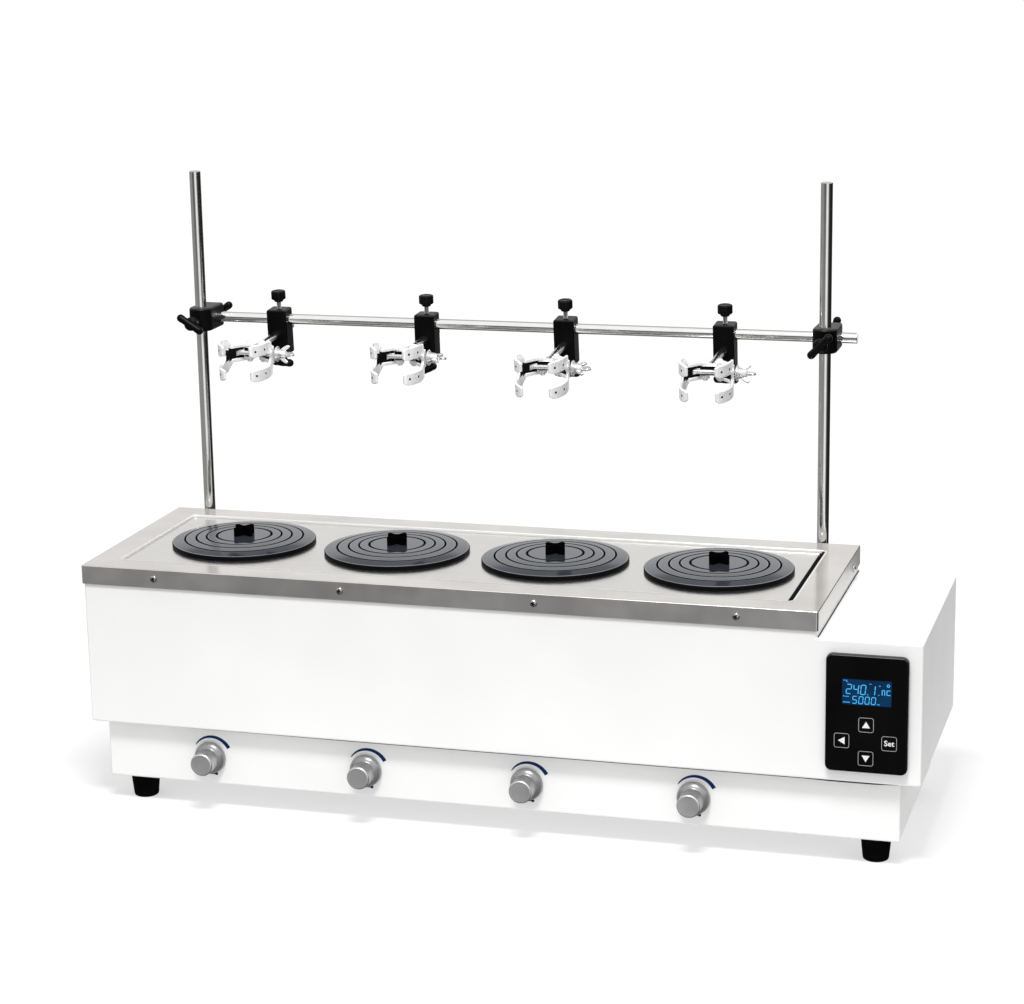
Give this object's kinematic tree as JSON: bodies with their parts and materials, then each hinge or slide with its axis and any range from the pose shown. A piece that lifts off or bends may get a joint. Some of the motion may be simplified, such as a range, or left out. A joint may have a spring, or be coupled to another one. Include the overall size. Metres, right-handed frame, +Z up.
{
  "type": "water bath magnetic stirrer",
  "caption": "Long white water bath with a stainless rim, nested ring lids, stirring knobs, a digital control box and a rear rod stand carrying adjustable four-prong clamps.",
  "frame": {"origin": "centre of the overall box in plan, on the floor under the feet", "axes": "+X along the bath towards the control box, +Y to the rear where the rod stand is, +Z up"},
  "size_m": [0.8386, 0.3274, 0.611],
  "materials": {
    "white_paint": "satin powder coat",
    "rubber": "matte",
    "stainless": "brushed",
    "rod_steel": "polished",
    "motor_housing": "matte",
    "board": "matte",
    "panel_black": "glossy",
    "display_glass": "glossy",
    "knob_metal": "satin",
    "black_coat": "satin",
    "black_plastic": "satin",
    "lid_plastic": "glossy",
    "clamp_chrome": "polished"
  },
  "bodies": {
    "housing": {"upper_casing": "white_paint", "control_box": "white_paint", "base_pan": "white_paint", "rubber_feet": "rubber", "top_collar": "stainless", "water_tank": "stainless", "casing_screws": "stainless", "heater_and_probe": "stainless", "stirrer_motors": "motor_housing", "speed_pots": "board", "control_bezel": "panel_black", "display_lens": "display_glass", "control_board": "board", "power_inlet": "panel_black", "support_rods": "rod_steel", "rod_sockets": "stainless"},
    "cover": {"cover_plate": "stainless"},
    "crossbar": {"cross_rod": "rod_steel", "boss_heads": "black_coat", "boss_screws": "black_plastic"},
    "rings_1": {"ring_set_1": "lid_plastic"},
    "lid_1": {"centre_lid_1": "lid_plastic"},
    "knob_1": {"speed_knob_1": "knob_metal"},
    "magnet_1": {"drive_magnet_1": "motor_housing"},
    "holder_1": {"clamp_holder_1": "black_coat"},
    "lock_knob_1": {"holder_knob_1": "black_plastic"},
    "arm_1": {"clamp_arm_1": "clamp_chrome"},
    "jaw_l_1": {"jaw_left_1": "clamp_chrome"},
    "jaw_r_1": {"jaw_right_1": "clamp_chrome"},
    "rings_2": {"ring_set_2": "lid_plastic"},
    "lid_2": {"centre_lid_2": "lid_plastic"},
    "knob_2": {"speed_knob_2": "knob_metal"},
    "magnet_2": {"drive_magnet_2": "motor_housing"},
    "holder_2": {"clamp_holder_2": "black_coat"},
    "lock_knob_2": {"holder_knob_2": "black_plastic"},
    "arm_2": {"clamp_arm_2": "clamp_chrome"},
    "jaw_l_2": {"jaw_left_2": "clamp_chrome"},
    "jaw_r_2": {"jaw_right_2": "clamp_chrome"},
    "rings_3": {"ring_set_3": "lid_plastic"},
    "lid_3": {"centre_lid_3": "lid_plastic"},
    "knob_3": {"speed_knob_3": "knob_metal"},
    "magnet_3": {"drive_magnet_3": "motor_housing"},
    "holder_3": {"clamp_holder_3": "black_coat"},
    "lock_knob_3": {"holder_knob_3": "black_plastic"},
    "arm_3": {"clamp_arm_3": "clamp_chrome"},
    "jaw_l_3": {"jaw_left_3": "clamp_chrome"},
    "jaw_r_3": {"jaw_right_3": "clamp_chrome"},
    "rings_4": {"ring_set_4": "lid_plastic"},
    "lid_4": {"centre_lid_4": "lid_plastic"},
    "knob_4": {"speed_knob_4": "knob_metal"},
    "magnet_4": {"drive_magnet_4": "motor_housing"},
    "holder_4": {"clamp_holder_4": "black_coat"},
    "lock_knob_4": {"holder_knob_4": "black_plastic"},
    "arm_4": {"clamp_arm_4": "clamp_chrome"},
    "jaw_l_4": {"jaw_left_4": "clamp_chrome"},
    "jaw_r_4": {"jaw_right_4": "clamp_chrome"},
    "up_key": {"up_button": "panel_black"},
    "down_key": {"down_button": "panel_black"},
    "shift_key": {"shift_button": "panel_black"},
    "set_key": {"set_button": "panel_black"}
  },
  "joints": [
    {"name": "crossbar_height", "type": "slide", "parent": "housing", "child": "crossbar", "axis": [0, 0, 1], "range_m": [-0.05, 0.13]},
    {"name": "cover_lift", "type": "slide", "parent": "housing", "child": "cover", "axis": [0, 0, 1], "range_m": [0, 0.08]},
    {"name": "knob_turn_1", "type": "hinge", "parent": "housing", "child": "knob_1", "pos_m": [-0.29165, -0.1378, 0.0535], "axis": [0, 1, 0], "range_deg": [0, 270]},
    {"name": "knob_turn_2", "type": "hinge", "parent": "housing", "child": "knob_2", "pos_m": [-0.12665, -0.1378, 0.0535], "axis": [0, 1, 0], "range_deg": [0, 270]},
    {"name": "knob_turn_3", "type": "hinge", "parent": "housing", "child": "knob_3", "pos_m": [0.03835, -0.1378, 0.0535], "axis": [0, 1, 0], "range_deg": [0, 270]},
    {"name": "knob_turn_4", "type": "hinge", "parent": "housing", "child": "knob_4", "pos_m": [0.20335, -0.1378, 0.0535], "axis": [0, 1, 0], "range_deg": [0, 270]},
    {"name": "holder_slide_1", "type": "slide", "parent": "crossbar", "child": "holder_1", "axis": [1, 0, 0], "range_m": [-0.03, 0.03]},
    {"name": "arm_slide_1", "type": "slide", "parent": "holder_1", "child": "arm_1", "axis": [0, 0.9976, 0.0698], "range_m": [-0.02, 0.03]},
    {"name": "jaw_close_1", "type": "hinge", "parent": "arm_1", "child": "jaw_r_1", "pos_m": [-0.29365, 0.04994, 0.43246], "axis": [0, 0.0698, -0.9976], "range_deg": [0, 11]},
    {"name": "holder_slide_2", "type": "slide", "parent": "crossbar", "child": "holder_2", "axis": [1, 0, 0], "range_m": [-0.03, 0.03]},
    {"name": "arm_slide_2", "type": "slide", "parent": "holder_2", "child": "arm_2", "axis": [0, 0.999, 0.0436], "range_m": [-0.02, 0.03]},
    {"name": "jaw_close_2", "type": "hinge", "parent": "arm_2", "child": "jaw_r_2", "pos_m": [-0.12915, 0.04943, 0.43452], "axis": [0, 0.0436, -0.999], "range_deg": [0, 11]},
    {"name": "holder_slide_3", "type": "slide", "parent": "crossbar", "child": "holder_3", "axis": [1, 0, 0], "range_m": [-0.03, 0.03]},
    {"name": "arm_slide_3", "type": "slide", "parent": "holder_3", "child": "arm_3", "axis": [0, 0.9945, 0.1045], "range_m": [-0.02, 0.03]},
    {"name": "jaw_close_3", "type": "hinge", "parent": "arm_3", "child": "jaw_r_3", "pos_m": [0.02145, 0.05071, 0.42972], "axis": [0, 0.1045, -0.9945], "range_deg": [0, 11]},
    {"name": "holder_slide_4", "type": "slide", "parent": "crossbar", "child": "holder_4", "axis": [1, 0, 0], "range_m": [-0.03, 0.03]},
    {"name": "arm_slide_4", "type": "slide", "parent": "holder_4", "child": "arm_4", "axis": [0, 0.9962, 0.0872], "range_m": [-0.02, 0.03]},
    {"name": "jaw_close_4", "type": "hinge", "parent": "arm_4", "child": "jaw_r_4", "pos_m": [0.18845, 0.05031, 0.43108], "axis": [0, 0.0872, -0.9962], "range_deg": [0, 11]},
    {"name": "jaw_follow_1", "type": "hinge", "parent": "arm_1", "child": "jaw_l_1", "pos_m": [-0.30865, 0.04994, 0.43246], "axis": [0, -0.0698, 0.9976], "range_deg": [0, 11]},
    {"name": "jaw_follow_2", "type": "hinge", "parent": "arm_2", "child": "jaw_l_2", "pos_m": [-0.14415, 0.04943, 0.43452], "axis": [0, -0.0436, 0.999], "range_deg": [0, 11]},
    {"name": "jaw_follow_3", "type": "hinge", "parent": "arm_3", "child": "jaw_l_3", "pos_m": [0.00645, 0.05071, 0.42972], "axis": [0, -0.1045, 0.9945], "range_deg": [0, 11]},
    {"name": "jaw_follow_4", "type": "hinge", "parent": "arm_4", "child": "jaw_l_4", "pos_m": [0.17345, 0.05031, 0.43108], "axis": [0, -0.0872, 0.9962], "range_deg": [0, 11]},
    {"name": "ring_lift_1", "type": "slide", "parent": "cover", "child": "rings_1", "axis": [0, 0, 1], "range_m": [0, 0.05]},
    {"name": "lid_lift_1", "type": "slide", "parent": "rings_1", "child": "lid_1", "axis": [0, 0, 1], "range_m": [0, 0.05]},
    {"name": "ring_lift_2", "type": "slide", "parent": "cover", "child": "rings_2", "axis": [0, 0, 1], "range_m": [0, 0.05]},
    {"name": "lid_lift_2", "type": "slide", "parent": "rings_2", "child": "lid_2", "axis": [0, 0, 1], "range_m": [0, 0.05]},
    {"name": "ring_lift_3", "type": "slide", "parent": "cover", "child": "rings_3", "axis": [0, 0, 1], "range_m": [0, 0.05]},
    {"name": "lid_lift_3", "type": "slide", "parent": "rings_3", "child": "lid_3", "axis": [0, 0, 1], "range_m": [0, 0.05]},
    {"name": "ring_lift_4", "type": "slide", "parent": "cover", "child": "rings_4", "axis": [0, 0, 1], "range_m": [0, 0.05]},
    {"name": "lid_lift_4", "type": "slide", "parent": "rings_4", "child": "lid_4", "axis": [0, 0, 1], "range_m": [0, 0.05]},
    {"name": "up_press", "type": "slide", "parent": "housing", "child": "up_key", "axis": [0, 1, 0], "range_m": [0, 0.0008], "stiffness_N_per_m": 1500},
    {"name": "down_press", "type": "slide", "parent": "housing", "child": "down_key", "axis": [0, 1, 0], "range_m": [0, 0.0008], "stiffness_N_per_m": 1500},
    {"name": "shift_press", "type": "slide", "parent": "housing", "child": "shift_key", "axis": [0, 1, 0], "range_m": [0, 0.0008], "stiffness_N_per_m": 1500},
    {"name": "set_press", "type": "slide", "parent": "housing", "child": "set_key", "axis": [0, 1, 0], "range_m": [0, 0.0008], "stiffness_N_per_m": 1500},
    {"name": "lock_turn_1", "type": "hinge", "parent": "holder_1", "child": "lock_knob_1", "pos_m": [-0.30465, 0.12731, 0.47295], "axis": [0, -0.0698, 0.9976], "range_deg": [0, 720]},
    {"name": "lock_turn_2", "type": "hinge", "parent": "holder_2", "child": "lock_knob_2", "pos_m": [-0.14015, 0.12783, 0.47298], "axis": [0, -0.0436, 0.999], "range_deg": [0, 720]},
    {"name": "lock_turn_3", "type": "hinge", "parent": "holder_3", "child": "lock_knob_3", "pos_m": [0.01045, 0.12661, 0.47289], "axis": [0, -0.1045, 0.9945], "range_deg": [0, 720]},
    {"name": "lock_turn_4", "type": "hinge", "parent": "holder_4", "child": "lock_knob_4", "pos_m": [0.17745, 0.12696, 0.47292], "axis": [0, -0.0872, 0.9962], "range_deg": [0, 720]},
    {"name": "magnet_spin_1", "type": "hinge", "parent": "housing", "child": "magnet_1", "pos_m": [-0.2934, -0.0223, 0.096], "axis": [0, 0, 1], "continuous": true},
    {"name": "magnet_spin_2", "type": "hinge", "parent": "housing", "child": "magnet_2", "pos_m": [-0.1279, -0.0223, 0.096], "axis": [0, 0, 1], "continuous": true},
    {"name": "magnet_spin_3", "type": "hinge", "parent": "housing", "child": "magnet_3", "pos_m": [0.0376, -0.0223, 0.096], "axis": [0, 0, 1], "continuous": true},
    {"name": "magnet_spin_4", "type": "hinge", "parent": "housing", "child": "magnet_4", "pos_m": [0.2031, -0.0223, 0.096], "axis": [0, 0, 1], "continuous": true}
  ],
  "couplings": [
    {"joint": "jaw_follow_1", "follows": "jaw_close_1", "ratio": 1},
    {"joint": "jaw_follow_2", "follows": "jaw_close_2", "ratio": 1},
    {"joint": "jaw_follow_3", "follows": "jaw_close_3", "ratio": 1},
    {"joint": "jaw_follow_4", "follows": "jaw_close_4", "ratio": 1}
  ]
}
